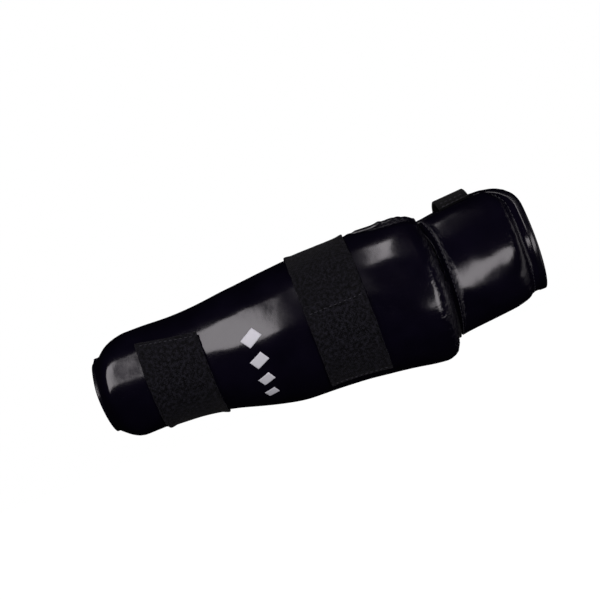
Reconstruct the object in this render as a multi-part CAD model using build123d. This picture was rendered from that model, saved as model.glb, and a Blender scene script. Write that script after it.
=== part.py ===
from build123d import *
import os
from math import cos, radians, sin

os.makedirs("parts", exist_ok=True)

# Padded forearm and elbow guard, modelled in its worn shape, in millimetres.
# +X runs from the wrist to the elbow, -Y is the outer side of the arm and +Z its front.
# The origin is the centre of the arm passage at the wrist mouth.
# Angles go round the arm: 0 is the outer side (-Y), 90 the front (+Z), -90 the back (-Z).

# ---- driving dimensions ----
cover_t = 1.0  # glossy cover sheet
foam_t = 10.0  # foam core
lining_t = 1.0  # lining sheet
wall_t = cover_t + foam_t + lining_t
side_ratio = 0.95  # width of the guard across the arm, as a share of its height

strap_w = 48.0  # nominal 50 mm elastic, narrowed a little by its tension
elastic_t = 1.8
strap_gap = 0.3  # clearance between a strap and what it lies on
loop_t = 1.0  # loop patch sewn on the cover
hook_t = 0.8  # hook patch under a strap end
tab_t = 1.6  # webbing of a strap end
seam_gap = 0.5  # degrees between two lengths of one strap

rim_reach = 51.0  # radius of the rounded wrist mouth, seen from the side
binding_w = 2.5  # width of the tape round the wrist mouth
hem_deg = 4.0  # width of the edge hems, round the arm
gusset_w = 10.0  # length of the gathered gusset over the elbow end
print_t = 0.25
print_lift = 0.12  # keeps the print clear of the curved cover
stitch_t = 0.4
stitch_w = 0.8


class Station:
    """One section of a padded tube: where it is, its size, and where its open edges are."""

    def __init__(self, x, top, bottom, front=0.0, rear=0.0):
        self.x = x
        self.middle = (top + bottom) / 2
        self.half_height = (top - bottom) / 2
        self.front = front
        self.rear = rear

    def plane(self):
        return Plane((self.x, 0, self.middle), x_dir=(0, -1, 0), z_dir=(-1, 0, 0))

    def between(self, other, x):
        """The section at x on the straight run from this station to the other."""
        s = (x - self.x) / (other.x - self.x)

        def mix(a, b):
            return a + (b - a) * s

        made = Station(x, 0, 0, mix(self.front, other.front), mix(self.rear, other.rear))
        made.middle = mix(self.middle, other.middle)
        made.half_height = mix(self.half_height, other.half_height)
        return made


# x, top, bottom, front edge angle, rear edge angle; the edges leave a slit on the front
shell = [
    Station(0, 40.5, -41.0, 112, -200),
    Station(40, 40.5, -41.0, 110, -199),
    Station(98, 40.5, -44.5, 108, -198),
    Station(121, 42.4, -51.2, 106, -197),
    Station(165, 47.5, -60.0, 99, -195),
    Station(232, 50.5, -64.5, 76, -188),
    Station(262, 51.5, -68.5, 70, -185),
    Station(283, 48.5, -67.5, 68, -184),
]
shell_end = shell[-1].x
gusset_start = shell_end - gusset_w

# the elbow cup, which stands a little taller than the shell's end on the front
cup = [
    Station(286, 48.0, -57.0, 66, -218),
    Station(310, 50.5, -54.5, 70, -217),
    Station(340, 51.5, -51.5, 72, -216),
    Station(358, 50.0, -50.0, 72, -213),
]


def sector(station, outer, inner, low, high):
    """Flat ring sector at a station, between two offsets from the outer surface."""

    def arc(offset, direction):
        return Edge.make_ellipse(
            station.half_height * side_ratio + offset,
            station.half_height + offset,
            plane,
            low if direction > 0 else high,
            high if direction > 0 else low,
            AngularDirection.COUNTER_CLOCKWISE if direction > 0 else AngularDirection.CLOCKWISE,
        )

    plane = station.plane()
    out_arc = arc(outer, 1)
    in_arc = arc(inner, 1)
    ends = [
        Edge.make_line(out_arc @ 0, in_arc @ 0),
        Edge.make_line(out_arc @ 1, in_arc @ 1),
    ]
    return Wire([out_arc, ends[1], in_arc, ends[0]])


def cut_run(stations, x0, x1):
    """The stations from x0 to x1, with sections made at both ends."""

    def at(x):
        for a, b in zip(stations, stations[1:]):
            if a.x <= x <= b.x:
                return a.between(b, x)
        raise ValueError(f"no station spans x = {x}")

    inside = [s for s in stations if x0 < s.x < x1]
    return [at(x0)] + inside + [at(x1)]


def wall(stations, outer, inner, x0, x1, low=None, high=None):
    """Closed wall from x0 to x1. low and high are fixed angles, or offsets from the open edges."""
    wires = []
    for s in cut_run(stations, x0, x1):
        start = s.rear + hem_deg if low is None else low(s)
        end = s.front - hem_deg if high is None else high(s)
        wires.append(sector(s, outer, inner, start, end))
    return Solid.make_loft(wires, ruled=True)


def fixed(angle):
    return lambda station: angle


def surface_point(stations, x, angle, offset):
    """A point at an offset from a tube's outer surface."""
    s = cut_run(stations, x, stations[-1].x)[0]
    across = (s.half_height * side_ratio + offset) * cos(radians(angle))
    up = (s.half_height + offset) * sin(radians(angle))
    return s.plane().from_local_coords(Vector(across, up, 0))


def write(name, *solids):
    """One node: a single solid, or a group of separate ones."""
    for s in solids:
        s.label = name
    whole = solids[0] if len(solids) == 1 else Compound(children=list(solids))
    whole.label = name
    export_step(whole, f"parts/{name}.step")


def rounded_mouth(radius):
    """What lies beyond the rounded wrist mouth."""
    middle = shell[0].middle
    reach = 60.0
    block = Pos(-1, 0, middle) * Box(2 * rim_reach, 200, 2 * reach, align=(Align.MIN, Align.CENTER, Align.CENTER))
    round_part = Pos(rim_reach, 0, middle) * (Rot(90, 0, 0) * Cylinder(radius, 220))
    keep = Pos(rim_reach, 0, middle) * Box(2 * rim_reach, 220, 2 * reach, align=(Align.MIN, Align.CENTER, Align.CENTER))
    return block - round_part - keep


def one(shape):
    """The single solid that a boolean leaves."""
    found = shape.solids()
    if len(found) != 1:
        raise ValueError(f"expected one solid, found {len(found)}")
    return found[0]


# ---- forearm shell ----
mouth_outside = rounded_mouth(rim_reach)
binding_inside = rounded_mouth(rim_reach - binding_w)
foam_x1 = shell_end - cover_t

cover_wall = wall(shell, 0, -cover_t, 0, gusset_start)
foam_wall = wall(shell, -cover_t, -cover_t - foam_t, 0, foam_x1)
lining_wall = wall(shell, -cover_t - foam_t, -wall_t, 0, foam_x1)
write("shell_cover", one(cover_wall - binding_inside))
write("shell_foam", one(foam_wall - binding_inside))
write("shell_lining", one(lining_wall - binding_inside))

# tape folded round the rounded wrist mouth
mouth_wall = wall(shell, 0, -wall_t, 0, 40)
write("wrist_rim_binding", one((mouth_wall - mouth_outside) & binding_inside))

# gathered gusset: it covers the shoulder of the pad and closes its elbow end
gusset_skin = wall(shell, 0, -cover_t, gusset_start, foam_x1)
gusset_end = wall(shell, 0, -wall_t, foam_x1, shell_end)
write("elbow_rim_gusset", one(gusset_skin + gusset_end))


def edge_hem(stations, side, x0, x1):
    """Sewn hem along one open edge, as thick as the pad."""
    if side == "front":
        return wall(stations, 0, -wall_t, x0, x1, lambda s: s.front - hem_deg, lambda s: s.front)
    return wall(stations, 0, -wall_t, x0, x1, lambda s: s.rear, lambda s: s.rear + hem_deg)


write("front_edge_hem", one(edge_hem(shell, "front", 0, shell_end) - mouth_outside))
write("rear_edge_hem", one(edge_hem(shell, "rear", 0, shell_end) - mouth_outside))


def stitch_row(stations, offset, places, low, high):
    """Short threads along the arm, each from low to high degrees round it at its own x."""
    threads = []
    for x0, x1 in places:
        a = low(x0) if callable(low) else low
        b = high(x0) if callable(high) else high
        threads.append(wall(stations, offset + stitch_t, offset, x0, x1, fixed(a), fixed(b)))
    return threads


def edge_threads(stations, side, x0, x1, pitch, inset):
    """A row of threads beside an open edge."""
    threads = []
    count = int((x1 - x0) / pitch)
    for i in range(count):
        a = x0 + i * pitch
        s = cut_run(stations, a, stations[-1].x)[0]
        middle = s.front - inset if side == "front" else s.rear + inset
        threads.append(
            wall(stations, stitch_t, 0, a, a + pitch * 0.6, fixed(middle - 0.4), fixed(middle + 0.4))
        )
    return threads


write("front_edge_stitches", *edge_threads(shell, "front", 232, 270, 4.0, 6.0))


# ---- straps ----
def strap_piece(x0, outer, inner, low, high):
    return wall(shell, outer, inner, x0, x0 + strap_w, fixed(low), fixed(high))


# radial places of a strap's layers above the cover
elastic_low = strap_gap
elastic_high = elastic_low + elastic_t
hook_low = loop_t + strap_gap
tab_low = elastic_high
tab_high = tab_low + tab_t

# wrist strap: sewn by the front edge, over the slit, behind the arm and up the outer side
wrist_x = 47.0
wrist_sewn = 104.0 - 360.0
wrist_lead_start = -125.0
wrist_seam = -60.0
wrist_tip = 36.0
write("wrist_strap_band", strap_piece(wrist_x, elastic_high, elastic_low, wrist_sewn - 12, wrist_lead_start))
write(
    "wrist_strap_lead",
    strap_piece(wrist_x, elastic_high, elastic_low, wrist_lead_start + seam_gap, wrist_seam - seam_gap),
)
write("wrist_strap_tab", strap_piece(wrist_x, tab_high, tab_low, wrist_seam, wrist_tip))
write("wrist_strap_hooks", strap_piece(wrist_x, tab_low, hook_low, wrist_seam + 3, wrist_tip - 2))
write("wrist_strap_loops", strap_piece(wrist_x, loop_t, 0, wrist_seam + 4, wrist_tip - 4))

# forearm strap: sewn by the rear edge, over the slit and down the outer side
forearm_x = 176.0
forearm_sewn = -170.0
forearm_lead_start = 75.0
forearm_seam = 11.0
forearm_tip = -59.0
write(
    "forearm_strap_band",
    strap_piece(forearm_x, elastic_high, elastic_low, forearm_lead_start, 360 + forearm_sewn),
)
write(
    "forearm_strap_lead",
    strap_piece(forearm_x, elastic_high, elastic_low, forearm_seam + seam_gap, forearm_lead_start - seam_gap),
)
write("forearm_strap_tab", strap_piece(forearm_x, tab_high, tab_low, forearm_tip, forearm_seam))
write("forearm_strap_hooks", strap_piece(forearm_x, tab_low, hook_low, forearm_tip + 2, forearm_seam - 3))
write("forearm_strap_loops", strap_piece(forearm_x, loop_t, 0, forearm_tip + 4, forearm_seam - 4))


def across_strap(x0, offset, angle, width_deg=0.9):
    """A row of threads across a strap, at one angle."""
    pitch = 4.0
    places = [(x0 + 2 + i * pitch, x0 + 4.4 + i * pitch) for i in range(int((strap_w - 3) / pitch))]
    return stitch_row(shell, offset, places, angle, angle + width_deg)


write("wrist_tab_stitches", *across_strap(wrist_x, tab_high, wrist_tip - 5))
write(
    "forearm_tab_stitches",
    *across_strap(forearm_x, tab_high, forearm_tip + 4),
    *across_strap(forearm_x, tab_high, forearm_seam - 4),
)
write(
    "strap_anchor_stitches",
    *across_strap(wrist_x, elastic_high, wrist_sewn - 9, 1.2),
    *across_strap(wrist_x, elastic_high, wrist_sewn - 2, 1.2),
    *across_strap(forearm_x, elastic_high, forearm_sewn - 4, 0.9),
    *across_strap(forearm_x, elastic_high, forearm_sewn - 12, 0.9),
)

# ---- printed mark: a plain row of lozenges round the arm, beside the forearm strap ----
mark_x = 132.0
mark_angles = [8, -13, -32, -48]
mark_lengths = [17.0, 15.0, 13.0, 11.0]  # along the arm
mark_spans = [17.0, 15.0, 13.0, 11.0]  # round the arm, in degrees


def lozenge(x, angle, length, span):
    """A thin lozenge laid on the cover, as a loft from a point-like end through its middle."""
    tip = 0.15
    rows = [(x - length / 2, tip), (x, 1.0), (x + length / 2, tip)]
    wires = []
    for place, share in rows:
        s = cut_run(shell, place, shell_end)[0]
        half = span / 2 * share
        wires.append(sector(s, print_lift + print_t, print_lift, angle - half, angle + half))
    return Solid.make_loft(wires, ruled=True)


mark = zip(mark_angles, mark_lengths, mark_spans)
write("front_print", *[lozenge(mark_x, a, length, span) for a, length, span in mark])

# ---- elbow cup ----
cup_start = cup[0].x
cup_end = cup[-1].x
cup_skin_end = cup_end - 3.0
write("cup_cover", wall(cup, 0, -cover_t, cup_start, cup_skin_end))
write("cup_foam", wall(cup, -cover_t, -cover_t - foam_t, cup_start, cup_skin_end))
write("cup_lining", wall(cup, -cover_t - foam_t, -wall_t, cup_start, cup_skin_end))
write("cup_end_binding", wall(cup, 0, -wall_t, cup_skin_end, cup_end))
write(
    "cup_edge_hems",
    edge_hem(cup, "front", cup_start, cup_end),
    edge_hem(cup, "rear", cup_start, cup_end),
)

# the elastic that closes the cup over the front of the arm, sewn to both edges
cup_strap_x = 300.0
cup_strap_w = 25.0
cup_strap_sewn = 9.0  # degrees of the strap that lie on the cup at each end


def cup_strap_wall(outer, inner, low, high):
    return wall(cup, outer, inner, cup_strap_x, cup_strap_x + cup_strap_w, low, high)


write(
    "cup_strap",
    cup_strap_wall(
        elastic_high,
        elastic_low,
        lambda s: s.front - cup_strap_sewn,
        lambda s: 360 + s.rear + cup_strap_sewn,
    ),
)


def cup_strap_threads(angle_of):
    pitch = 4.0
    threads = []
    for i in range(5):
        x0 = cup_strap_x + 2.5 + i * pitch
        s = cut_run(cup, x0, cup_end)[0]
        a = angle_of(s)
        threads.append(
            wall(cup, elastic_high + stitch_t, elastic_high, x0, x0 + 2.4, fixed(a), fixed(a + 0.9))
        )
    return threads


write(
    "cup_strap_stitches",
    *cup_strap_threads(lambda s: s.front - 6.5),
    *cup_strap_threads(lambda s: 360 + s.rear + 5.5),
)


def cup_end_threads():
    """A row of threads round the cup, inside its binding."""
    x0 = cup_skin_end - 5.0
    threads = []
    for i in range(40):
        a = -205 + i * 6.4
        threads.append(wall(cup, stitch_t, 0, x0, x0 + stitch_w, fixed(a), fixed(a + 3.6)))
    return threads


write("cup_end_stitches", *cup_end_threads())

# ---- elastic web that joins the shell and the cup inside, round the elbow ----
web_gap = 0.4
web_t = 1.2
web_low = -150.0
web_high = 40.0
web_x0 = 268.0
web_x1 = 300.0
web_join = (shell_end + cup_start) / 2


def web_station(stations, x):
    return cut_run(stations, x, stations[-1].x)[0]


joined = [
    web_station(shell, web_x0),
    web_station(shell, shell_end),
    web_station(cup, cup_start),
    web_station(cup, web_x1),
]
web_wires = [sector(s, -wall_t - web_gap, -wall_t - web_gap - web_t, web_low, web_high) for s in joined]
write("hinge_web", Solid.make_loft(web_wires, ruled=True))


# ---- where the joints are ----
def report_hinge(name, x0, x1, angle, offset):
    a = surface_point(shell, x0, angle, offset)
    b = surface_point(shell, x1, angle, offset)
    axis = (b - a).normalized()
    middle = (a + b) * 0.5
    place = [round(v / 1000, 5) for v in middle]
    print(name, "pos_m", place, "axis", [round(v, 5) for v in axis])


if __name__ == "__main__":
    report_hinge("wrist_lead", wrist_x, wrist_x + strap_w, wrist_lead_start, elastic_high)
    report_hinge("wrist_tab", wrist_x, wrist_x + strap_w, wrist_seam, tab_high)
    report_hinge("forearm_lead", forearm_x, forearm_x + strap_w, forearm_lead_start, elastic_high)
    report_hinge("forearm_tab", forearm_x, forearm_x + strap_w, forearm_seam, tab_high)
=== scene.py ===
"""Looks of the forearm and elbow guard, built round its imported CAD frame.

Lengths in the shape code are millimetres and angles degrees, as in the CAD source: x runs from the
wrist to the elbow, 0 degrees faces the outer side (-Y), 90 the front (+Z), -90 the back (-Z).
"""

import math

import bpy
import numpy as np
from mathutils import Matrix, Vector, noise


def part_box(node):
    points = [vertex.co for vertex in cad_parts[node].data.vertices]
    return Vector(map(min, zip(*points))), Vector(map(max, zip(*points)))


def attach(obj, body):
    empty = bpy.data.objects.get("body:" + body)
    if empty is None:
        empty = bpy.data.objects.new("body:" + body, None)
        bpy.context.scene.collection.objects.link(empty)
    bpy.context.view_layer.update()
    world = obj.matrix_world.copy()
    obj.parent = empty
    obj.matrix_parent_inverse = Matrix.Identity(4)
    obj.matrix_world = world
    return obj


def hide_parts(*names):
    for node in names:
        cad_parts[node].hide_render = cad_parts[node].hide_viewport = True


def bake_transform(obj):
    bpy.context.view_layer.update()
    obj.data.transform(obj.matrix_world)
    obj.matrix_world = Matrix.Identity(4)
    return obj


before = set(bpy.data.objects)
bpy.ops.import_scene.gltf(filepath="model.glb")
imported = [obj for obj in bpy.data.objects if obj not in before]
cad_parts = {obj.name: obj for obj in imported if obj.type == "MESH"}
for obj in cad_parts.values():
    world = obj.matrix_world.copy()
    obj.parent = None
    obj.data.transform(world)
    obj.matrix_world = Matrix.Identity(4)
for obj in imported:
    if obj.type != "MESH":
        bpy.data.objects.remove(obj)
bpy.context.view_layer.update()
MM = 0.001

# ---------------------------------------------------------------- sizes
WALL = 12.0  # thickness of the padded wall
SIDE_RATIO = 0.95  # width across the arm as a share of its height
STRAP_W = 48.0
ELASTIC_T = 1.8
TAB_T = 1.5
STRAP_GAP = 0.35
LOOP_T = 0.9
SHELL_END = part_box("elbow_rim_gusset")[1].x / MM
CUP_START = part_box("cup_cover")[0].x / MM - 1.0
CUP_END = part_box("cup_end_binding")[1].x / MM - 3.5
WRIST_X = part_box("wrist_strap_tab")[0].x / MM
FOREARM_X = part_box("forearm_strap_tab")[0].x / MM


class Tube:
    """A padded tube's outer surface, as smooth curves through a few sections."""

    def __init__(self, rows):
        table = np.array(rows, float)
        self.x = table[:, 0]
        self.columns = {
            "middle": (table[:, 1] + table[:, 2]) / 2,
            "half": (table[:, 1] - table[:, 2]) / 2,
            "front": table[:, 3],
            "rear": table[:, 4],
        }

    def at(self, what, x):
        """Cubic through the sections, with slopes from their neighbours."""
        xs, ys = self.x, self.columns[what]
        slopes = np.gradient(ys, xs)
        x = np.clip(np.asarray(x, float), xs[0], xs[-1])
        k = np.clip(np.searchsorted(xs, x) - 1, 0, len(xs) - 2)
        h = xs[k + 1] - xs[k]
        t = (x - xs[k]) / h
        low = (1 + 2 * t) * (1 - t) ** 2 * ys[k] + t * (1 - t) ** 2 * h * slopes[k]
        return low + t * t * (3 - 2 * t) * ys[k + 1] + t * t * (t - 1) * h * slopes[k + 1]

    def place(self, x, angle, offset, shift=0.0):
        """Points in metres at an offset from the outer surface. shift moves them along x."""
        half = self.at("half", x)
        across = (half * SIDE_RATIO + offset) * np.cos(np.radians(angle))
        up = (half + offset) * np.sin(np.radians(angle))
        return np.stack([x + shift, -across, self.at("middle", x) + up], axis=-1) * MM

    def per_degree(self, x):
        """Length round the tube of one degree, in millimetres."""
        return self.at("half", x) * (1 + SIDE_RATIO) / 2 * math.pi / 180


# x, top, bottom, front edge, rear edge
shell = Tube(
    [
        (0, 40.0, -40.5, 112, -200),
        (20, 40.0, -41.0, 111, -199),
        (48, 39.8, -40.8, 110, -199),
        (76, 39.4, -41.6, 109, -198),
        (98, 40.4, -45.4, 108, -198),
        (121, 42.6, -52.2, 106, -197),
        (150, 45.8, -59.0, 102, -196),
        (180, 48.6, -60.6, 96, -194),
        (210, 51.0, -62.6, 86, -190),
        (238, 53.4, -65.8, 77, -187),
        (262, 54.0, -70.0, 72, -185),
        (SHELL_END, 52.5, -71.4, 70, -184),
    ]
)
cup = Tube(
    [
        (CUP_START, 47.6, -56.0, 66, -218),
        (310, 49.6, -52.2, 69, -217),
        (332, 50.6, -49.8, 70, -216),
        (CUP_END, 49.0, -49.6, 70, -213),
    ]
)


def smooth(t):
    t = np.clip(t, 0, 1)
    return t * t * (3 - 2 * t)


def swell(t):
    """Quarter ellipse: 0 at t = 0, level at t = 1."""
    return np.sqrt(np.clip(1 - (1 - np.clip(t, 0, 1)) ** 2, 0, 1))


def hashed_noise(u, v, seed):
    """Smooth noise of two coordinates, the same on every run."""
    u, v = np.broadcast_arrays(u, v)
    flat = [noise.noise(Vector((a, b, seed))) for a, b in zip(np.ravel(u), np.ravel(v))]
    return np.array(flat).reshape(np.shape(u))


# ---------------------------------------------------------------- meshes
def add_attribute(obj, name, values):
    """A number per vertex of a closed sheet, the same on both of its sides."""
    attribute = obj.data.attributes.new(name, "FLOAT", "POINT")
    attribute.data.foreach_set("value", np.tile(np.ravel(values), 2).astype(np.float32))


def make_object(name, vertices, faces, cloth=None, smooth_faces=True):
    mesh = bpy.data.meshes.new(name)
    mesh.from_pydata([tuple(v) for v in vertices], [], faces)
    mesh.validate()
    if smooth_faces:
        mesh.polygons.foreach_set("use_smooth", [True] * len(mesh.polygons))
    if cloth is not None:
        attribute = mesh.attributes.new("cloth", "FLOAT_VECTOR", "POINT")
        attribute.data.foreach_set("vector", np.asarray(cloth, np.float32).ravel())
    obj = bpy.data.objects.new(name, mesh)
    bpy.context.scene.collection.objects.link(obj)
    return obj


def grid_faces(n, m, start=0, flip=False):
    faces = []
    for i in range(n - 1):
        for j in range(m - 1):
            a = start + i * m + j
            quad = (a, a + 1, a + m + 1, a + m)
            faces.append(quad[::-1] if flip else quad)
    return faces


def closed_sheet(name, outer, inner, cloth):
    """A closed mesh between two grids of points, walled round their borders."""
    n, m = outer.shape[:2]
    count = n * m
    faces = grid_faces(n, m, 0, True) + grid_faces(n, m, count, False)
    border = [(0, j) for j in range(m)]
    border += [(i, m - 1) for i in range(1, n)]
    border += [(n - 1, j) for j in range(m - 2, -1, -1)]
    border += [(i, 0) for i in range(n - 2, 0, -1)]
    ring = [i * m + j for i, j in border]
    for a, b in zip(ring, ring[1:] + ring[:1]):
        faces.append((a, b, b + count, a + count))
    points = np.concatenate([outer.reshape(-1, 3), inner.reshape(-1, 3)])
    flat = np.concatenate([cloth.reshape(-1, 3)] * 2)
    return make_object(name, points, faces, flat)


def cloth_of(u, v):
    return np.stack([u, v, np.zeros_like(u)], axis=-1)


def stitches(name, rows, length=2.6, gap=1.3, radius=0.32, sink=0.25):
    """Threads that dip in and out along rows of points, each row with its outward directions."""
    vertices, faces = [], []
    sides, steps = 6, 7
    for points, normals in rows:
        points, normals = np.asarray(points), np.asarray(normals)
        reach = np.concatenate([[0], np.cumsum(np.linalg.norm(np.diff(points, axis=0), axis=1))]) / MM
        at = 0.6
        while at + length < reach[-1]:
            start = len(vertices)
            for s in range(steps):
                t = s / (steps - 1)
                d = at + t * length
                p = Vector([np.interp(d, reach, points[:, a]) for a in range(3)])
                q = Vector([np.interp(min(d + 0.1, reach[-1]), reach, points[:, a]) for a in range(3)])
                up = Vector([np.interp(d, reach, normals[:, a]) for a in range(3)]).normalized()
                along = (q - p).normalized() if (q - p).length else Vector((1, 0, 0))
                side = along.cross(up).normalized()
                lift = math.sin(math.pi * t) * 0.42 - sink
                thick = radius * (0.55 + 0.45 * math.sin(math.pi * t))
                p = p + up * lift * MM
                for k in range(sides):
                    a = 2 * math.pi * k / sides
                    vertices.append(p + (up * math.cos(a) + side * math.sin(a)) * thick * MM)
            for s in range(steps - 1):
                for k in range(sides):
                    a, b = start + s * sides + k, start + s * sides + (k + 1) % sides
                    faces.append((a, b, b + sides, a + sides))
            faces.append(tuple(start + k for k in range(sides))[::-1])
            faces.append(tuple(start + (steps - 1) * sides + k for k in range(sides)))
            at += length + gap
    return make_object(name, vertices, faces)


# ---------------------------------------------------------------- materials
class Shader:
    """A node material under construction. Coordinates are in millimetres."""

    def __init__(self, name):
        self.material = bpy.data.materials.new(name)
        self.material.use_nodes = True
        self.nodes = self.material.node_tree.nodes
        self.links = self.material.node_tree.links
        self.base = self.nodes["Principled BSDF"]

    def node(self, kind, **inputs):
        made = self.nodes.new(kind)
        for key, value in inputs.items():
            if hasattr(made, key):
                setattr(made, key, value)
            else:
                self.put(made, key.replace("_", " "), value)
        return made

    def put(self, node, socket, value):
        target = node.inputs[socket]
        if isinstance(value, bpy.types.NodeSocket):
            self.links.new(value, target)
        else:
            target.default_value = value

    def set(self, socket, value):
        self.put(self.base, socket, value)

    def solid_mm(self):
        """Place in the object's own space."""
        coords = self.node("ShaderNodeTexCoord")
        scaled = self.node("ShaderNodeVectorMath", operation="SCALE")
        self.links.new(coords.outputs["Object"], scaled.inputs[0])
        scaled.inputs["Scale"].default_value = 1 / MM
        return scaled.outputs[0]

    def cloth_mm(self):
        """Place in the flat cloth: across, along."""
        return self.node("ShaderNodeAttribute", attribute_name="cloth").outputs["Vector"]

    def noise(self, where, size, detail=3.0, rough=0.55):
        made = self.node("ShaderNodeTexNoise", Scale=1 / size, Detail=detail, Roughness=rough)
        self.links.new(where, made.inputs["Vector"])
        return made.outputs["Fac"]

    def cells(self, where, size, feature="F1"):
        made = self.node("ShaderNodeTexVoronoi", feature=feature, Scale=1 / size)
        self.links.new(where, made.inputs["Vector"])
        return made.outputs["Distance"]

    def ribs(self, where, direction, period):
        """Sine ridges across a direction, 0 to 1."""
        dot = self.node("ShaderNodeVectorMath", operation="DOT_PRODUCT")
        self.links.new(where, dot.inputs[0])
        dot.inputs[1].default_value = [c * 2 * math.pi / period for c in direction]
        return self.math("MULTIPLY_ADD", self.math("SINE", dot.outputs["Value"]), 0.5, 0.5)

    def math(self, operation, *values):
        made = self.node("ShaderNodeMath", operation=operation)
        for i, value in enumerate(values):
            if isinstance(value, bpy.types.NodeSocket):
                self.links.new(value, made.inputs[i])
            else:
                made.inputs[i].default_value = value
        return made.outputs[0]

    def spread(self, value, low, high, start=0.0, end=1.0):
        """A number remapped from start..end to low..high."""
        made = self.node("ShaderNodeMapRange")
        self.links.new(value, made.inputs["Value"])
        for socket, number in zip(("From Min", "From Max", "To Min", "To Max"), (start, end, low, high)):
            made.inputs[socket].default_value = number
        return made.outputs["Result"]

    def mix(self, share, a, b):
        made = self.node("ShaderNodeMix", data_type="RGBA")
        self.links.new(share, made.inputs["Factor"])
        for socket, value in ((made.inputs[6], a), (made.inputs[7], b)):
            if isinstance(value, bpy.types.NodeSocket):
                self.links.new(value, socket)
            else:
                socket.default_value = (*value, 1)
        return made.outputs[2]

    def bump(self, height, depth, over=None):
        """Relief of a height from 0 to 1, depth millimetres deep."""
        made = self.node("ShaderNodeBump")
        made.inputs["Strength"].default_value = 1.0
        made.inputs["Distance"].default_value = depth * MM
        self.links.new(height, made.inputs["Height"])
        if over is not None:
            self.links.new(over, made.inputs["Normal"])
        return made.outputs["Normal"]


def vinyl(name, dark, light, rough, grain=0.012):
    """Glossy coated vinyl: fine grain, slow unevenness and scuffs; creased where gathered, with painted
    shade there from lowered specular and coat.
    """
    s = Shader(name)
    where = s.solid_mm()
    slow = s.noise(where, 26.0, 2.0)
    fine = s.cells(where, 0.85)
    scuff = s.spread(s.noise(where, 3.5, 5.0, 0.7), 0.0, 1.0, 0.63, 0.80)
    s.set("Base Color", s.mix(s.spread(slow, 0, 1, 0.3, 0.7), dark, light))
    uneven = s.spread(slow, rough - 0.02, rough + 0.03, 0.3, 0.7)
    s.set("Roughness", s.math("ADD", uneven, s.math("MULTIPLY", scuff, 0.06)))
    dents = s.bump(s.noise(where, 9.0, 2.0), 0.10)
    gathers_and_shade = s.node("ShaderNodeAttribute", attribute_name="gathers_and_shade").outputs["Fac"]
    drawn = s.node("ShaderNodeVectorMath", operation="MULTIPLY")
    s.links.new(s.cloth_mm(), drawn.inputs[0])
    drawn.inputs[1].default_value = (0.22, 1.0, 1.0)
    slope = s.math("ABSOLUTE", s.math("SUBTRACT", s.noise(drawn.outputs[0], 1.7, 2.0, 0.55), 0.5))
    ridge = s.math("SUBTRACT", 1.0, s.math("MULTIPLY", slope, 5.0))
    creases = s.bump(s.math("MULTIPLY", ridge, gathers_and_shade), 0.7, dents)
    s.set("Normal", s.bump(fine, grain, creases))
    # painted shade: specular and coat are turned down by the gathers mask, darkening the creases and edges
    # it marks as if shaded
    s.set("Specular IOR Level", s.math("SUBTRACT", 0.5, s.math("MULTIPLY", gathers_and_shade, 0.2)))
    s.set("Coat Weight", s.math("SUBTRACT", 0.35, s.math("MULTIPLY", gathers_and_shade, 0.2)))
    s.set("Coat Roughness", 0.12)
    return s.material


def webbing(name, dark, light, period, fuzz):
    """Woven elastic: crossed ribs, with speckle and a soft sheen."""
    s = Shader(name)
    where = s.cloth_mm()
    left = s.ribs(where, (0.72, 0.69, 0), period)
    right = s.ribs(where, (-0.72, 0.69, 0), period * 1.07)
    weave = s.math("MULTIPLY", left, right)
    speckle = s.noise(where, 2.5, 4.0, 0.85)
    tone = s.math("ADD", s.math("MULTIPLY", weave, 0.2), s.spread(speckle, 0.0, 1.0, 0.45, 0.60))
    s.set("Base Color", s.mix(tone, dark, light))
    s.set("Roughness", s.spread(speckle, 0.72, 0.92))
    relief = s.bump(weave, 0.22)
    s.set("Normal", s.bump(speckle, fuzz, relief))
    s.set("Sheen Weight", 0.03)
    s.set("Sheen Roughness", 0.5)
    s.set("Specular IOR Level", 0.12)
    return s.material


def pile(name, dark, light, size, depth):
    """Hook or loop tape: short upright fibres."""
    s = Shader(name)
    where = s.cloth_mm()
    tuft = s.cells(where, size)
    fuzz = s.noise(where, size * 0.6, 4.0, 0.7)
    s.set("Base Color", s.mix(s.spread(fuzz, 0, 1, 0.3, 0.7), dark, light))
    s.set("Roughness", s.spread(fuzz, 0.8, 0.97))
    s.set("Normal", s.bump(tuft, depth, s.bump(fuzz, depth * 0.6)))
    s.set("Sheen Weight", 0.05)
    s.set("Specular IOR Level", 0.2)
    return s.material


def knit(name, dark, light):
    """Brushed lining: fine knitted wales under a light nap."""
    s = Shader(name)
    where = s.cloth_mm()
    wale = s.ribs(where, (0, 1, 0), 1.5)
    course = s.ribs(where, (1, 0, 0), 1.1)
    loops = s.math("MULTIPLY", wale, course)
    nap = s.noise(where, 1.4, 5.0, 0.7)
    tone = s.math("ADD", s.math("MULTIPLY", loops, 0.5), s.spread(nap, 0, 0.5, 0.3, 0.7))
    s.set("Base Color", s.mix(tone, dark, light))
    s.set("Roughness", s.spread(nap, 0.82, 0.97))
    s.set("Normal", s.bump(nap, 0.15, s.bump(loops, 0.2)))
    s.set("Sheen Weight", 0.06)
    s.set("Specular IOR Level", 0.2)
    return s.material


def thread_material(name, dark, light):
    s = Shader(name)
    where = s.solid_mm()
    ply = s.noise(where, 0.5, 2.0)
    s.set("Base Color", s.mix(s.spread(ply, 0, 1, 0.3, 0.7), dark, light))
    s.set("Roughness", s.spread(ply, 0.45, 0.65))
    s.set("Normal", s.bump(ply, 0.08))
    return s.material


def ink(name, light, worn):
    """Screen print: even, with a little wear and the vinyl's grain under it."""
    s = Shader(name)
    where = s.solid_mm()
    wear = s.spread(s.noise(where, 2.2, 6.0, 0.75), 0, 1, 0.62, 0.80)
    s.set("Base Color", s.mix(wear, light, worn))
    s.set("Roughness", s.spread(s.noise(where, 1.2, 3.0), 0.36, 0.52))
    s.set("Normal", s.bump(s.cells(where, 0.85), 0.012))
    return s.material


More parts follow.
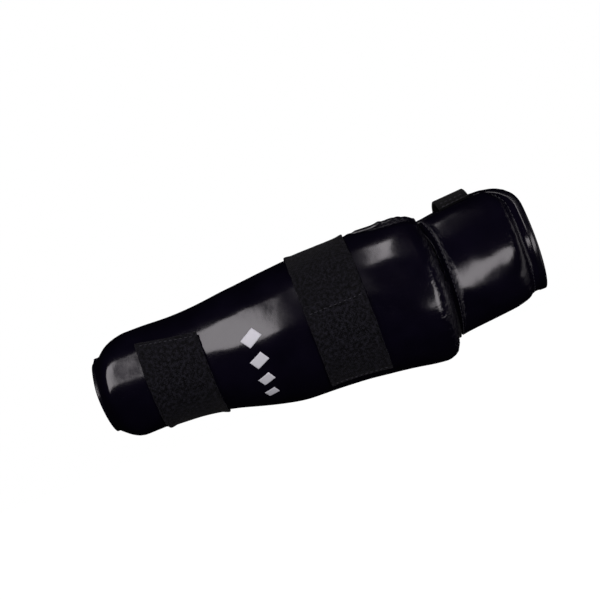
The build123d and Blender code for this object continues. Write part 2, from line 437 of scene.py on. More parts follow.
cover_vinyl = vinyl("cover_vinyl", (0.0015, 0.0011, 0.0036), (0.0026, 0.0019, 0.0058), 0.145)
edge_vinyl = vinyl("edge_vinyl", (0.0014, 0.0012, 0.0030), (0.0026, 0.0022, 0.0052), 0.26, 0.02)
elastic = webbing("elastic", (0.0002, 0.0002, 0.0004), (0.0086, 0.0084, 0.0118), 1.7, 0.3)
# painted shade: the cup strap is the same black webbing as the elastic above, in far darker colours that
# shade it as if in shadow
shaded_cup_elastic = webbing("shaded_cup_elastic", (0.0001, 0.0001, 0.0002), (0.0014, 0.0014, 0.0022), 1.5, 0.25)
tab_webbing = webbing("tab_webbing", (0.0001, 0.0001, 0.0003), (0.0104, 0.0102, 0.0142), 1.3, 0.5)
hook_tape = pile("hook_tape", (0.006, 0.006, 0.007), (0.022, 0.022, 0.025), 0.9, 0.45)
loop_tape = pile("loop_tape", (0.008, 0.008, 0.010), (0.026, 0.026, 0.031), 1.6, 0.55)
lining_cloth = knit("lining_cloth", (0.008, 0.008, 0.010), (0.030, 0.030, 0.036))
thread = thread_material("thread", (0.008, 0.008, 0.011), (0.030, 0.030, 0.038))
print_ink = ink("print_ink", (0.52, 0.53, 0.56), (0.24, 0.24, 0.27))


def finish_piece(obj, material, replaced, body=None):
    obj.data.materials.append(material)
    if replaced:
        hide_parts(*replaced)
    if body:
        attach(obj, body)
    return obj


# ---------------------------------------------------------------- the pads
HEM_W = 6.5  # flat sewn hem along the open edges
HEM_SHARE = 0.17  # its thickness, as a share of the wall's
HEM_DEPTH = 6.0  # how far its middle lies below the pad's outer surface
EDGE_STEPS = [0, 0.5, 1.5, 3.2, 5.2, 6.4, 6.8, 7.6, 8.8, 10.5, 13, 16, 19.5]


def side_share(d, hem=HEM_W):
    """Thickness beside an open edge: a flat hem, then the foam's rounded shoulder."""
    return HEM_SHARE + (1 - HEM_SHARE) * swell((d - hem) / 11.0)


def shell_side(x, front_mm, rear_mm):
    """The shell's thickness beside its edges; the front hem widens near the elbow."""
    front = side_share(front_mm, HEM_W + 5.0 * smooth((x - 225) / 30))
    return np.minimum(front, side_share(rear_mm))


def skins(side, length, slack):
    """Outer and inner offsets: open edges close in at mid thickness, ends close down on the inside."""
    outer = -HEM_DEPTH * (1 - side) + slack * side
    inner = -WALL + (WALL - HEM_DEPTH) * (1 - side)
    return inner + (outer - inner) * length, inner


PINCHES = [(WRIST_X, -270, 33, 0.9), (FOREARM_X, -56, 130, 0.8)]  # strap, first and last angle, depth


def strap_pinch(x, angle):
    """How far the straps press the foam in, as a negative offset in millimetres."""
    total = np.zeros(np.broadcast(x, angle).shape)
    for x0, low, high, depth in PINCHES:
        inside = smooth((x - x0 - 1) / 5) * smooth((x0 + STRAP_W - 1 - x) / 5)
        round_the_arm = smooth((angle - low) / 8) * smooth((high - angle) / 8)
        total = total - depth * inside * round_the_arm
    return total


def shell_outer(x, angle):
    """Offset of the shell's full-thickness surface: straps, slack and soft dents."""
    broad = hashed_noise(x / 42.0, angle / 34.0, 3.1) * 0.8
    slack = broad + hashed_noise(x / 15.0, angle / 14.0, 7.7) * 0.16
    return strap_pinch(x, angle) + slack


def spaced(d_low, d_high, total, step):
    """Sample places from 0 to total, with given distances from both ends and even steps between."""
    a, b = max(d_low), total - max(d_high)
    count = max(2, int(round((b - a) / step)))
    middle = [a + (b - a) * k / count for k in range(1, count)]
    return np.array(sorted(set(list(d_low) + middle + [total - d for d in d_high])))


def around(tube, x, places_share, edge_mm=EDGE_STEPS):
    """Angles across the pad at x: exact distances by both open edges, even between them."""
    front, rear, unit = tube.at("front", x), tube.at("rear", x), tube.per_degree(x)
    low = rear[:, None] + np.array(edge_mm)[None, :] / unit[:, None]
    high = front[:, None] - np.array(edge_mm[::-1])[None, :] / unit[:, None]
    share = np.linspace(0, 1, places_share + 2)[None, 1:-1]
    middle = low[:, -1:] + (high[:, :1] - low[:, -1:]) * share
    return np.concatenate([low, middle, high], axis=1)


def corner_cut(d, radius):
    """How far a rounded corner pulls an end back, at d from the open edge."""
    t = np.clip(1 - d / radius, 0, 1)
    return radius * (1 - np.sqrt(np.clip(1 - t * t, 0, 1)))


def shell_rim(angle):
    """x of the wrist mouth's edge, set back a little towards the front and the back of the arm."""
    return 8.5 + 1.5 * np.sin(np.radians(angle)) ** 2


def puckers(around_mm, along_mm, seed):
    """Small crumpled folds of gathered vinyl, about -1 to 1, mostly along the second direction."""
    bend = hashed_noise(around_mm / 7.0, along_mm / 6.0, seed) * 2.0 + along_mm * 0.35
    long_folds = 1 - 3.2 * np.abs(hashed_noise((around_mm + bend) / 2.3, along_mm / 10.0, seed + 4))
    slanted = (around_mm - along_mm * 0.6) / 3.4
    cross_folds = 1 - 3.2 * np.abs(hashed_noise(slanted, along_mm / 4.0, seed + 9))
    return long_folds * 0.75 + cross_folds * 0.25


SHOULDER = 13.0  # length of the rounded, gathered shoulder at the elbow end
WRIST_STEPS = [0, 0.4, 1.0, 2.0, 3.2, 4.6, 6.4, 8.6, 11, 14, 18, 22, 27]


def flare(x, front_mm):
    """The front hem stands away from the arm near the elbow."""
    return 2.6 * smooth((x - 190) / 50) * np.clip(1 - front_mm / 16.0, 0, 1) ** 1.5


def shell_grid():
    end_steps = [0, 0.06, 0.2, 0.45, 0.8, *np.arange(1.25, 19, 0.5)]
    nominal = spaced(WRIST_STEPS, end_steps, SHELL_END, 1.7)
    angle = around(shell, nominal, 620)
    unit = shell.per_degree(nominal)[:, None]
    front_mm = (shell.at("front", nominal)[:, None] - angle) * unit
    rear_mm = (angle - shell.at("rear", nominal)[:, None]) * unit
    edge_mm = np.minimum(front_mm, rear_mm)
    start = shell_rim(angle) + corner_cut(edge_mm, 11.0) * 0.8
    bow = 5.5 * np.sin(np.radians(np.clip(angle - 5, -180, 180))) ** 2
    end = SHELL_END - bow * 0.85 - corner_cut(edge_mm, 9.0)
    x = start + nominal[:, None] / SHELL_END * (end - start)
    from_rim = np.minimum(nominal[:, None], 60.0)
    above = np.sin(np.radians(angle))
    taper = 10.0 + (16.0 + 6.0 * above) * above**2
    wrist_share = 0.12 + 0.88 * np.sin(np.clip(from_rim / taper, 0, 1) * math.pi / 2)
    to_end = SHELL_END - nominal[:, None]
    end_share = 0.26 + 0.74 * swell(to_end / SHOULDER)
    side = shell_side(x, front_mm, rear_mm)
    offset, inside = skins(side, wrist_share * end_share, shell_outer(x, angle))
    # the wrist mouth curls in towards the arm on its front side
    curl = 3.4 * smooth(above * 1.4) * np.exp(-((nominal[:, None] / 8.0) ** 2))
    # the gathers ride on the shoulder, and push it outward and towards the elbow
    turn = np.arcsin(np.clip(1 - np.clip(to_end / SHOULDER, 0, 1), 0, 1))
    along_rim = angle * shell.per_degree(np.array([SHELL_END]))[0]
    surface_mm = (math.pi / 2 - turn) * SHOULDER + np.clip(to_end - SHOULDER, 0, None)
    reach = 11.0 + 6.0 * hashed_noise(along_rim / 5.0, 0.0, 17.0)
    reach = reach + 4.0 * hashed_noise(along_rim / 21.0, 0.0, 19.0)
    amount = smooth(surface_mm / 1.5) * np.exp(-((surface_mm / reach) ** 2)) * smooth((edge_mm - 2) / 5)
    folds = puckers(along_rim, surface_mm, 11.0) * 1.05 * amount
    seam = -0.9 * np.exp(-(((surface_mm - 4.0) / 1.2) ** 2)) * smooth((edge_mm - 3) / 6)
    lift = flare(x, front_mm)
    hem = np.clip(1.6 - front_mm / 9.0, 0, 1) * smooth((x - 190) / 50)
    broad = hashed_noise(x / 3.4, angle / 5.0, 31.0) * 0.8
    crinkle = (broad + hashed_noise(x / 1.7, angle / 3.0, 37.0) * 0.15) * hem
    offset = offset + (folds + seam) * np.cos(turn) + lift + crinkle - curl
    shift = (folds + seam) * np.sin(turn)
    # this mask marks the gathers and the front flange's crinkles for crease relief, and dulls the vinyl
    # there as painted shade
    gathers_and_shade = np.clip(amount * 1.2 + hem * 0.5, 0, 1)
    return (nominal, x, angle, offset, inside + lift + crinkle - curl, shift), gathers_and_shade


def pad_and_lining(tube, grid, gathers_and_shade, prefix, replaced, body):
    """The closed pad and the cloth on its inner side."""
    nominal, x, angle, offset, inside, shift = grid
    cloth = cloth_of(x, angle * tube.per_degree(nominal)[:, None])
    outer_skin = tube.place(x, angle, offset, shift)
    pad = closed_sheet(prefix + "_pad", outer_skin, tube.place(x, angle, inside), cloth)
    finish_piece(pad, cover_vinyl, replaced, body)
    # the mask goes to the vinyl shader for crease relief and for painted shade
    add_attribute(pad, "gathers_and_shade", gathers_and_shade)
    inner = (slice(1, -1), slice(3, -3))
    ripple = hashed_noise(x / 9.0, angle / 8.0, 5.0) * 0.25
    low = tube.place(x, angle, inside - 0.8 + ripple)[inner]
    high = tube.place(x, angle, inside - 0.05)[inner]
    lining = closed_sheet(prefix + "_lining_cloth", high, low, cloth[inner])
    finish_piece(lining, lining_cloth, [prefix + "_lining"], body)


shell_rows, shell_gathers_and_shade = shell_grid()
shell_solids = ["shell_cover", "shell_foam", "elbow_rim_gusset"]
pad_and_lining(shell, shell_rows, shell_gathers_and_shade, "shell", shell_solids, "forearm_shell")


def outward(tube, x, angle):
    """Outward directions at points of a tube."""
    low = tube.place(x, angle, np.zeros_like(angle))
    high = tube.place(x, angle, np.full_like(angle, 5.0))
    d = high - low
    return d / np.linalg.norm(d, axis=-1, keepdims=True)


def edge_tape(name, points, ups, width, thick):
    """Binding folded over an edge: a flattened U that wraps a row of edge points."""
    rows = []
    steps = 9
    n = len(points)
    for i in range(n):
        t = Vector(points[min(i + 1, n - 1)] - points[max(i - 1, 0)]).normalized()
        up = Vector(ups[i])
        up = (up - t * up.dot(t)).normalized()
        out = t.cross(up).normalized()
        ring = []
        for k in range(steps):
            a = math.pi * (k / (steps - 1)) - math.pi / 2
            ring.append((up * math.sin(a) * thick / 2 + out * math.cos(a) * thick * 0.5) * MM)
        legs = [up * (-thick / 2) * MM - out * width * MM, up * (thick / 2) * MM - out * width * MM]
        ring = [legs[0] + out * width * 0.5 * MM, *ring, legs[1] + out * width * 0.5 * MM, legs[1]]
        ring = [legs[0], *ring]
        rows.append([Vector(points[i]) + r for r in ring])
    m = len(rows[0])
    vertices = [v for row in rows for v in row]
    faces = []
    for i in range(n - 1):
        for k in range(m):
            a, b = i * m + k, i * m + (k + 1) % m
            faces.append((a, b, b + m, a + m))
    faces.append(tuple(range(m))[::-1])
    faces.append(tuple((n - 1) * m + k for k in range(m)))
    return make_object(name, vertices, faces)


def edge_points(tube, grid, where):
    """Points along the middle of a pad's edge, and their outward directions."""
    x, angle, offset, inside = (part[where] for part in grid[1:5])
    return tube.place(x, angle, (offset + inside) / 2), outward(tube, x, angle)


RIM, FAR_END, REAR, FRONT = (0, slice(None)), (-1, slice(None)), (slice(None), 0), (slice(None), -1)
points, ups = edge_points(shell, shell_rows, RIM)
rim_tape = edge_tape("wrist_mouth_tape", points, ups, 2.2, 1.1)
finish_piece(rim_tape, edge_vinyl, ["wrist_rim_binding"], "forearm_shell")
points, ups = edge_points(shell, shell_rows, (slice(3, None), -1))
front_tape = edge_tape("front_hem_tape", points[::-1][::2], ups[::-1][::2], 5.0, 2.9)
finish_piece(front_tape, edge_vinyl, ["front_edge_hem"], "forearm_shell")
points, ups = edge_points(shell, shell_rows, (slice(3, None), 0))
rear_tape = edge_tape("rear_hem_tape", points[::2], ups[::2], 5.0, 2.9)
finish_piece(rear_tape, edge_vinyl, ["rear_edge_hem"], "forearm_shell")


# ---------------------------------------------------------------- straps
def skin_at(x, angle):
    """Offset of the pad's outer skin along the arm's middle, hems included."""
    unit = shell.per_degree(x)
    front_mm = (shell.at("front", x) - angle) * unit
    side = shell_side(x, front_mm, (angle - shell.at("rear", x)) * unit)
    return skins(side, 1.0, shell_outer(x, angle))[0] + flare(x, front_mm)


hulls = {}


def section_hull(x):
    """Sides of the convex outline a taut strap takes at x: outward directions and distances."""
    key = round(float(x), 2)
    if key not in hulls:
        angle = np.linspace(float(shell.at("rear", x)) + 0.5, float(shell.at("front", x)) - 0.5, 150)
        offset = skin_at(np.full_like(angle, x), angle)
        half = float(shell.at("half", x))
        across = (half * SIDE_RATIO + offset) * np.cos(np.radians(angle))
        up = (half + offset) * np.sin(np.radians(angle))
        points = sorted(zip(across, up))
        chains = []
        for run in (points, points[::-1]):
            chain = []
            for p in run:
                while len(chain) > 1 and turn_of(chain[-2], chain[-1], p) <= 0:
                    chain.pop()
                chain.append(p)
            chains += chain[:-1]
        ring = np.array(chains)
        step = np.roll(ring, -1, axis=0) - ring
        out = np.stack([step[:, 1], -step[:, 0]], axis=1)
        out /= np.linalg.norm(out, axis=1, keepdims=True)
        hulls[key] = out, np.sum(out * ring, axis=1), half
    return hulls[key]


def turn_of(a, b, c):
    return (b[0] - a[0]) * (c[1] - a[1]) - (b[1] - a[1]) * (c[0] - a[0])


def taut(x, angle):
    """Offset of the path of a strap pulled tight round the section at x."""
    out, reach, half = section_hull(x)
    c, s = np.cos(np.radians(angle)), np.sin(np.radians(angle))
    facing = out[:, :1] * c + out[:, 1:] * s
    free = reach[:, None] - half * (SIDE_RATIO * out[:, :1] * c + out[:, 1:] * s)
    offset = np.where(facing > 0.02, free / np.maximum(facing, 0.02), 1e3).min(axis=0)
    return offset


def strip(name, x0, x1, low, high, lift, thick, flare=0.0, crown=0.0, lean=0.0, step=1.6, pulled=True):
    """A flat strap on the shell, from angle low to high, lift millimetres above it.

    flare widens it towards high, crown bows its edges up, lean slants its high end.
    """
    width = x1 - x0
    edge = [0, 0.25, 0.8, 1.6]
    across = np.array([*edge, *np.linspace(3, width - 3, 22), *[width - d for d in edge[::-1]]])
    unit = float(shell.per_degree((x0 + x1) / 2))
    ends = np.array(edge[:3]) / unit
    count = max(6, int((high - low) * unit / step))
    middle = np.linspace(low + 1.6 / unit, high - 1.6 / unit, count)
    angle = np.concatenate([low + ends, middle, high - ends[::-1]])
    a, u = np.meshgrid(angle, across, indexing="ij")
    share = (a - low) / (high - low)
    a = a + lean * (1 - 2 * u / width) * share
    x = x0 + u + flare * (u / width - 0.5) * share + hashed_noise(a / 7.0, u / 30.0, 6.6) * 0.45
    from_edge = np.minimum(np.minimum(u, width - u), np.minimum(share, 1 - share) * (high - low) * unit)
    round_off = 0.35 + 0.65 * swell(from_edge / 0.8)
    if pulled:
        rest = np.stack([taut(x[:, k].mean(), a[:, k]) for k in range(len(across))], axis=1)
    else:
        rest = skin_at(x, a)
    ripple = hashed_noise(x / 11.0, a / 9.0, 1.7) * 0.16 + hashed_noise(x / 30.0, a / 16.0, 4.2) * 0.2
    base = rest + lift + (ripple if pulled else 0) + crown * (2 * u / width - 1) ** 2
    outer = shell.place(x, a, base + thick / 2 + thick / 2 * round_off)
    inner = shell.place(x, a, base + thick / 2 - thick / 2 * round_off)
    return closed_sheet(name, outer, inner, cloth_of(u, a * unit))


WRIST_LEAD, WRIST_SEAM, WRIST_TIP = -125.0, -60.0, 36.0
FOREARM_LEAD, FOREARM_SEAM, FOREARM_TIP = 75.0, 11.0, -59.0
WRIST_SEWN, FOREARM_SEWN = -257.0, 190.0
WRIST_LEAN = 6.0  # the wrist strap's end lies a little askew
UNDER_TAB = LOOP_T + 0.9
UNDER_HOOKS = LOOP_T + 0.15
HOOK_T = 0.7
LOOP_SINK = -0.1  # the loop patch is sewn down into the cover
LAP = 3.5  # degrees that a tab reaches back over the elastic it is sewn to


def strap_x(x0):
    return x0, x0 + STRAP_W


def bend_between(objects):
    """Bake each piece's placement into its mesh and reset its transform.
    """
    for obj in objects:
        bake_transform(obj)


def wrist_strap():
    x0, x1 = strap_x(WRIST_X)
    band = strip("wrist_band_elastic", x0, x1, WRIST_SEWN, WRIST_LEAD, STRAP_GAP, ELASTIC_T)
    finish_piece(band, elastic, ["wrist_strap_band"], "forearm_shell")
    lead = strip("wrist_lead_elastic", x0, x1, WRIST_LEAD + 0.2, WRIST_SEAM - 0.2, STRAP_GAP, ELASTIC_T)
    finish_piece(lead, elastic, ["wrist_strap_lead"])
    bend_between([lead])
    root = WRIST_SEAM - LAP
    tab = strip("wrist_tab_webbing", x0, x1, root, WRIST_TIP, UNDER_TAB, TAB_T, crown=0.3, lean=WRIST_LEAN)
    finish_piece(tab, tab_webbing, ["wrist_strap_tab"])
    low, high = WRIST_SEAM + 3, WRIST_TIP - 2
    hooks = strip("wrist_hook_tape", x0 + 2, x1 - 2, low, high, UNDER_HOOKS, HOOK_T, lean=WRIST_LEAN)
    finish_piece(hooks, hook_tape, ["wrist_strap_hooks"])
    bend_between([tab, hooks])
    low, high = WRIST_SEAM + 4, WRIST_TIP - 4
    loops = strip(
        "wrist_loop_tape", x0 + 1, x1 - 1, low, high, LOOP_SINK, LOOP_T, lean=WRIST_LEAN, pulled=False
    )
    finish_piece(loops, loop_tape, ["wrist_strap_loops"], "forearm_shell")


def forearm_strap():
    x0, x1 = strap_x(FOREARM_X)
    low, high = FOREARM_LEAD, FOREARM_SEWN
    band = strip("forearm_band_elastic", x0, x1, low, high, STRAP_GAP, ELASTIC_T, flare=2.0)
    finish_piece(band, elastic, ["forearm_strap_band"], "forearm_shell")
    low, high = FOREARM_SEAM + 0.2, FOREARM_LEAD - 0.2
    lead = strip("forearm_lead_elastic", x0, x1, low, high, STRAP_GAP, ELASTIC_T)
    finish_piece(lead, elastic, ["forearm_strap_lead"])
    bend_between([lead])
    low, high = FOREARM_TIP, FOREARM_SEAM + LAP
    tab = strip("forearm_tab_webbing", x0, x1, low, high, UNDER_TAB, TAB_T, crown=0.35)
    finish_piece(tab, tab_webbing, ["forearm_strap_tab"])
    low, high = FOREARM_TIP + 2, FOREARM_SEAM - 3
    hooks = strip("forearm_hook_tape", x0 + 2, x1 - 2, low, high, UNDER_HOOKS, HOOK_T)
    finish_piece(hooks, hook_tape, ["forearm_strap_hooks"])
    bend_between([tab, hooks])
    low, high = FOREARM_TIP + 4, FOREARM_SEAM - 4
    loops = strip("forearm_loop_tape", x0 + 1, x1 - 1, low, high, LOOP_SINK, LOOP_T, pulled=False)
    finish_piece(loops, loop_tape, ["forearm_strap_loops"], "forearm_shell")


wrist_strap()
forearm_strap()


def row_on_strap(x, angle, lift):
    """A sewing line on a strap, lift above the taut path: its points and outward directions."""
    x, angle = np.broadcast_arrays(np.asarray(x, float), np.asarray(angle, float))
    rest = np.array([taut(a, np.array([b]))[0] for a, b in zip(x, angle)])
    return shell.place(x, angle, rest + lift), outward(shell, x, angle)


def row_across(x0, angle, lift, lean=0.0):
    u = np.linspace(2.5, STRAP_W - 2.5, 30)
    return row_on_strap(x0 + u, angle + lean * (1 - 2 * u / STRAP_W), lift)


def row_round(x_at, low, high, lift):
    return row_on_strap(x_at, np.linspace(low, high, 12), lift)


TAB_TOP = UNDER_TAB + TAB_T + 0.15
ELASTIC_TOP = STRAP_GAP + ELASTIC_T + 0.1
sewn = stitches(
    "wrist_tab_threads", [row_across(WRIST_X, WRIST_TIP - 4.5, TAB_TOP, WRIST_LEAN)]
)
finish_piece(sewn, thread, ["wrist_tab_stitches"], "wrist_strap_end")
sewn = stitches(
    "forearm_tab_threads",
    [row_across(FOREARM_X, FOREARM_TIP + 3.0, TAB_TOP), row_across(FOREARM_X, FOREARM_SEAM - 3.0, TAB_TOP)],
)
finish_piece(sewn, thread, ["forearm_tab_stitches"])
bend_between([sewn])
anchor_rows = []
for x0, sewn_at, onward in ((WRIST_X, WRIST_SEWN, 1), (FOREARM_X, FOREARM_SEWN, -1)):
    first, second = sewn_at + onward * 2.5, sewn_at + onward * 12
    anchor_rows += [row_across(x0, first, ELASTIC_TOP), row_across(x0, second, ELASTIC_TOP)]
    anchor_rows += [row_round(x0 + 2.5, min(first, second), max(first, second), ELASTIC_TOP)]
    anchor_rows += [row_round(x0 + STRAP_W - 2.5, min(first, second), max(first, second), ELASTIC_TOP)]
sewn = stitches("strap_anchor_threads", anchor_rows)
finish_piece(sewn, thread, ["strap_anchor_stitches"], "forearm_shell")


THREAD_LIFT = 0.3  # how far a sewing line lies above a pad


def row_on_pad(tube, grid, where):
    """A sewing line along a row or column of a pad's grid."""
    x, angle, offset, _, shift = (part[where] for part in grid[1:])
    return tube.place(x, angle, offset + THREAD_LIFT, shift), outward(tube, x, angle)


LONG_SEAM = slice(12, -16)
sewn = stitches("hem_threads", [row_on_pad(shell, shell_rows, (LONG_SEAM, column)) for column in (5, -6)])
finish_piece(sewn, thread, ["front_edge_stitches"], "forearm_shell")

# ---------------------------------------------------------------- printed mark
MARK_X = 132.0
MARKS = [(8, 17, 17), (-13, 15, 15), (-32, 13, 13), (-48, 11, 11)]  # angle, length, span in degrees


def lozenges():
    """Four plain lozenges of falling size, laid on the cover."""
    vertices, faces = [], []
    n = 14
    for angle, length, span in MARKS:
        start = len(vertices)
        for layer in (0.28, -0.3):
            for i in range(n + 1):
                for j in range(n + 1):
                    u, v = i / n * 2 - 1, j / n * 2 - 1
                    p, q = (u + v) / 2, (u - v) / 2
                    lean = 3.0 * q
                    x = np.array([MARK_X + p * length * 0.5 + lean])
                    a = np.array([angle + q * span * 0.5])
                    vertices.append(shell.place(x, a, shell_outer(x, a) + layer)[0])
        count = (n + 1) ** 2
        faces += grid_faces(n + 1, n + 1, start, False)
        faces += grid_faces(n + 1, n + 1, start + count, True)
        border = [j for j in range(n + 1)] + [i * (n + 1) + n for i in range(1, n + 1)]
        border += [n * (n + 1) + j for j in range(n - 1, -1, -1)]
        border += [i * (n + 1) for i in range(n - 1, 0, -1)]
        for a, b in zip(border, border[1:] + border[:1]):
            faces.append((start + b, start + a, start + a + count, start + b + count))
    return make_object("plain_mark", vertices, faces)


finish_piece(lozenges(), print_ink, ["front_print"], "forearm_shell")


# ---------------------------------------------------------------- elbow cup
CUP_FLANGE = 7.5  # flat sewn flange round the cup's far end
CUP_STEPS = [0, 0.5, 1.5, 3.5, 6.0, 8.3, 8.8, 9.6, 10.8, 12.5, 14.8, 17.5, 21]
CUP_NEAR_STEPS = [0, 0.3, 1.0, 2.0, 3.2, 4.0, 4.6, 5.6, 7.0, 9.0, 12.0]


def cup_outer(x, angle):
    """Slack of the cup's cover, and the low bulge of its outer side."""
    broad = hashed_noise(x / 38.0, angle / 40.0, 9.4) * 0.8
    slack = broad + hashed_noise(x / 14.0, angle / 14.0, 2.2) * 0.15
    along = np.sin(np.clip((x - CUP_START) / 70, 0, 1) * math.pi)
    low_bulge = 3.5 * np.exp(-(((angle + 50) / 32) ** 2)) * along
    return slack + low_bulge


def cup_grid():
    length = CUP_END - CUP_START
    nominal = spaced(CUP_NEAR_STEPS, CUP_STEPS, length, 1.8) + CUP_START
    angle = around(cup, nominal, 210)
    unit = cup.per_degree(nominal)[:, None]
    front_mm = (cup.at("front", nominal)[:, None] - angle) * unit
    rear_mm = (angle - cup.at("rear", nominal)[:, None]) * unit
    edge_mm = np.minimum(front_mm, rear_mm)
    s = (nominal[:, None] - CUP_START) / length
    bow = 3.0 * np.sin(np.radians(np.clip(angle - 5, -180, 180))) ** 2
    start = CUP_START - bow - 2.5 * smooth((angle - 25) / 30)
    end = CUP_END - corner_cut(edge_mm, 34.0) * 0.85
    x = start + s * (end - start)
    to_end = (1 - s) * length
    from_start = s * length
    below = np.clip(-np.sin(np.radians(angle)), 0, 1)
    flat_end = HEM_SHARE + (1 - HEM_SHARE) * swell((to_end - CUP_FLANGE) / (8.0 + 9.0 * below))
    flat_start = 0.42 + 0.58 * swell((from_start - 1.2) / 3.6)
    side = np.minimum(side_share(edge_mm), flat_end)
    offset, inside = skins(side, flat_start, cup_outer(x, angle))
    near_end = np.exp(-(((to_end - 10.0) / 4.0) ** 2))
    near_start = np.exp(-(((from_start - 3.5) / 2.6) ** 2))
    folds = puckers(angle * unit, to_end, 21.0) * (0.3 * near_end + 0.4 * near_start)
    offset = offset + folds * smooth((edge_mm - 3) / 6)
    # this mask marks the folds at both ends for crease relief, and dulls the vinyl as painted shade there
    # and along the open edges, most at the near end
    gathers_and_shade = np.clip(0.3 * near_end + 1.0 * near_start + 0.4 * np.clip(1.3 - edge_mm / 8.0, 0, 1), 0, 1)
    return (nominal, x, angle, offset, inside, 0.0 * x), gathers_and_shade


cup_rows, cup_gathers_and_shade = cup_grid()
pad_and_lining(cup, cup_rows, cup_gathers_and_shade, "cup", ["cup_cover", "cup_foam"], "elbow_cup")
points, ups = edge_points(cup, cup_rows, FAR_END)
tape = edge_tape("cup_end_tape", points[::-1][::2], ups[::-1][::2], 4.0, 3.0)
finish_piece(tape, edge_vinyl, ["cup_end_binding"], "elbow_cup")
for where, order, name in ((FRONT, -1, "cup_front_tape"), (REAR, 1, "cup_rear_tape")):
    points, ups = edge_points(cup, cup_rows, where)
    tape = edge_tape(name, points[::order][::2], ups[::order][::2], 4.5, 2.9)
    finish_piece(tape, edge_vinyl, ["cup_edge_hems"], "elbow_cup")


def cup_thread_rows():
    nominal = cup_rows[0]
    to_end, from_start = CUP_END - nominal, nominal - CUP_START
    wanted = (abs(to_end - 6.5), abs(from_start - 3.2))
    rows = [row_on_pad(cup, cup_rows, (int(np.argmin(d)), slice(4, -4))) for d in wanted]
    return rows + [row_on_pad(cup, cup_rows, (slice(2, -8), column)) for column in (4, -5)]


sewn = stitches("cup_threads", cup_thread_rows())
finish_piece(sewn, thread, ["cup_end_stitches"], "elbow_cup")

CUP_STRAP_X, CUP_STRAP_W, CUP_STRAP_SEWN = 300.0, 25.0, 9.0


def cup_strap():
    width = CUP_STRAP_W
    across = np.array([0, 0.25, 0.8, *np.linspace(2, width - 2, 14), width - 0.8, width - 0.25, width])
    middle = CUP_STRAP_X + width / 2
    low = float(cup.at("front", middle)) - CUP_STRAP_SEWN - 4
    high = 360 + float(cup.at("rear", middle)) + CUP_STRAP_SEWN + 4
    unit = float(cup.per_degree(middle))
    angle = np.concatenate([low + np.array([0, 0.25, 0.8]) / unit, np.linspace(low + 2, high - 2, 70)])
    angle = np.concatenate([angle, high - np.array([0.8, 0.25, 0]) / unit])
    a, u = np.meshgrid(angle, across, indexing="ij")
    x = CUP_STRAP_X + u
    from_edge = np.minimum(np.minimum(u, width - u), np.minimum(a - low, high - a) * unit)
    round_off = 0.35 + 0.65 * swell(from_edge / 0.8)
    front, rear = cup.at("front", x), cup.at("rear", x) + 360
    d = np.minimum(np.maximum(front - a, a - rear), 100) * unit
    on_pad = skins(side_share(np.maximum(d, 0)), 1.0, 0.0)[0] + 0.3
    base = np.maximum(on_pad, -1.5) + hashed_noise(x / 9.0, a / 9.0, 3.3) * 0.2
    outer = cup.place(x, a, base + ELASTIC_T / 2 + ELASTIC_T / 2 * round_off)
    inner = cup.place(x, a, base + ELASTIC_T / 2 - ELASTIC_T / 2 * round_off)
    strap = closed_sheet("cup_strap_elastic", outer, inner, cloth_of(u, a * unit))
    finish_piece(strap, shaded_cup_elastic, ["cup_strap"], "elbow_cup")
    rows = []
    for at in (low + 2.5, low + 9, high - 2.5, high - 9):
        xs = np.linspace(CUP_STRAP_X + 2, CUP_STRAP_X + width - 2, 20)
        angles = np.full_like(xs, at)
        front_d = np.maximum(cup.at("front", xs) - angles, angles - cup.at("rear", xs) - 360) * unit
        on_pad = skins(side_share(np.maximum(front_d, 0)), 1.0, 0.0)[0] + 0.3
        top = np.maximum(on_pad, -1.5) + ELASTIC_T + 0.15
        rows.append((cup.place(xs, angles, top), outward(cup, xs, angles)))
    sewn = stitches("cup_strap_threads", rows)
    finish_piece(sewn, thread, ["cup_strap_stitches"], "elbow_cup")


cup_strap()


# ---------------------------------------------------------------- web behind the elbow
def hinge_web():
    """Elastic web sewn inside both pads, folded small while the arm is straight."""
    x0, x1 = SHELL_END - 15, CUP_START + 14
    in_shell = np.linspace(x0, SHELL_END - 2, 8)
    between = np.linspace(SHELL_END - 1.4, CUP_START + 1.4, 41)
    x = np.concatenate([in_shell, between, np.linspace(CUP_START + 2, x1, 8)])
    angle = np.linspace(-152, 42, 200)
    xx, aa = np.meshgrid(x, angle, indexing="ij")
    t = smooth((xx - SHELL_END) / (CUP_START - SHELL_END))
    free = (xx > SHELL_END) & (xx < CUP_START)
    fold = np.sin((xx - SHELL_END) / (CUP_START - SHELL_END) * math.pi * 3) * np.where(free, 0.5, 0.0)
    base = -WALL - 1.9 + fold + hashed_noise(aa / 7.0, xx / 20.0, 8.0) * 0.4
    a_side = shell.place(np.minimum(xx, SHELL_END), aa, base)
    b_side = cup.place(np.maximum(xx, CUP_START), aa, base)
    points = a_side * (1 - t[..., None]) + b_side * t[..., None]
    points[..., 0] = np.where(free, xx * MM, points[..., 0])
    thick = outward(shell, np.minimum(xx, SHELL_END), aa) * 1.0 * MM
    web = closed_sheet("elbow_web", points, points - thick, cloth_of(aa * 0.9, xx * 4))
    finish_piece(web, elastic, ["hinge_web"])
    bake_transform(web)


hinge_web()


# ---------------------------------------------------------------- camera, light and floor
ROLL = math.radians(21.0)
AIM = Vector((0.1765, 0.0, 0.0147))
DISTANCE = 1.105


def camera():
    data = bpy.data.cameras.new("camera")
    data.lens = 85.0
    data.sensor_width = 36.0
    obj = bpy.data.objects.new("camera", data)
    bpy.context.scene.collection.objects.link(obj)
    right = Vector((math.cos(ROLL), 0, -math.sin(ROLL)))
    up = Vector((math.sin(ROLL), 0, math.cos(ROLL)))
    back = Vector((0, -1, 0))
    turn = Matrix((right, up, back)).transposed().to_4x4()
    obj.matrix_world = Matrix.Translation(AIM + back * DISTANCE) @ turn
    bpy.context.scene.camera = obj
    return right, up, back


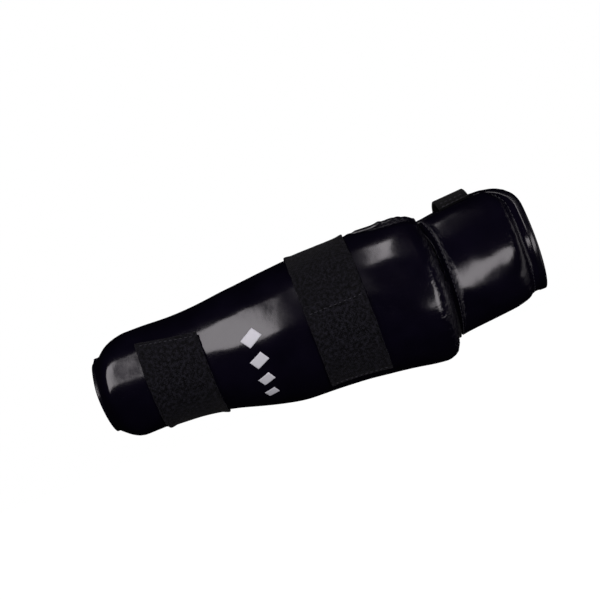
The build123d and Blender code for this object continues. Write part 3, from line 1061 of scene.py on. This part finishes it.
def area_light(name, place, target, size, radiance, roll=0.0):
    """A softbox at a place, facing a target, turned by roll about the line between them."""
    data = bpy.data.lights.new(name, "AREA")
    data.shape = "RECTANGLE"
    data.size, data.size_y = size
    data.color = (1.0, 0.95, 0.99)
    data.energy = radiance * math.pi * size[0] * size[1]
    obj = bpy.data.objects.new(name, data)
    bpy.context.scene.collection.objects.link(obj)
    facing = (target - place).normalized()
    level = Vector((0, 0, 1)).cross(facing).normalized()
    across = level * math.cos(roll) + facing.cross(level) * math.sin(roll)
    turn = Matrix((across, across.cross(facing), -facing)).transposed().to_4x4()
    obj.matrix_world = Matrix.Translation(place) @ turn
    obj.visible_camera = False
    return obj


def lights(right, up, back):
    """Softboxes that the vinyl mirrors, and fills that it does not."""
    middle = Vector((0.17, 0, 0))

    def at(r, u, b):
        """A place, by its distances right, up and back from the middle as the camera sees it."""
        return middle + right * r + up * u + back * b

    area_light("key_box", at(-0.70, 0.38, 0.80), middle, (0.55, 1.10), 3.7, -0.40)
    area_light("elbow_panel", at(0.24, -0.06, 0.40), Vector((0.32, 0, 0)), (0.23, 0.11), 3.8, -1.0)
    area_light("front_panel", at(-0.23, 0.78, 0.38), Vector((0.25, 0, 0.02)), (0.48, 0.11), 4.2, -1.5)
    fill = area_light("front_fill", at(0.25, 0.0, 1.5), middle, (0.8, 0.8), 6.2)
    fill.visible_glossy = False
    rear = area_light("rear_fill", at(0.1, 0.55, -1.4), middle, (0.9, 0.9), 6.0)
    rear.visible_glossy = False
    area_light("side_panel", at(0.95, 0.15, 0.30), Vector((0.28, 0, 0)), (0.30, 1.3), 0.8)


def stage():
    """Pure white surroundings for the camera, almost none for reflections and for diffuse light."""
    world = bpy.data.worlds.new("studio")
    bpy.context.scene.world = world
    world.use_nodes = True
    nodes, links = world.node_tree.nodes, world.node_tree.links
    background = nodes["Background"]
    path = nodes.new("ShaderNodeLightPath")
    dim = nodes.new("ShaderNodeMix")
    links.new(path.outputs["Is Glossy Ray"], dim.inputs["Factor"])
    dim.inputs[2].default_value = 0.025
    dim.inputs[3].default_value = 0.0015
    mix = nodes.new("ShaderNodeMix")
    links.new(path.outputs["Is Camera Ray"], mix.inputs["Factor"])
    links.new(dim.outputs[0], mix.inputs[2])
    mix.inputs[3].default_value = 1.0
    background.inputs["Color"].default_value = (1, 1, 1, 1)
    links.new(mix.outputs[0], background.inputs["Strength"])
    size, drop = 6.0, 0.45
    corners = [(-size, -size, -drop), (size, -size, -drop), (size, size, -drop), (-size, size, -drop)]
    floor = make_object("floor", corners, [(0, 1, 2, 3)])
    s = Shader("floor")
    where = s.solid_mm()
    s.set("Base Color", s.mix(s.noise(where, 90.0, 2.0), (0.92, 0.92, 0.92), (0.96, 0.96, 0.96)))
    s.set("Roughness", 0.9)
    s.set("Emission Color", (1, 1, 1, 1))
    s.set("Emission Strength", 1.0)
    floor.data.materials.append(s.material)
    floor.visible_glossy = False
    floor.visible_diffuse = False


lights(*camera())
stage()
bpy.context.scene.view_settings.view_transform = "Standard"
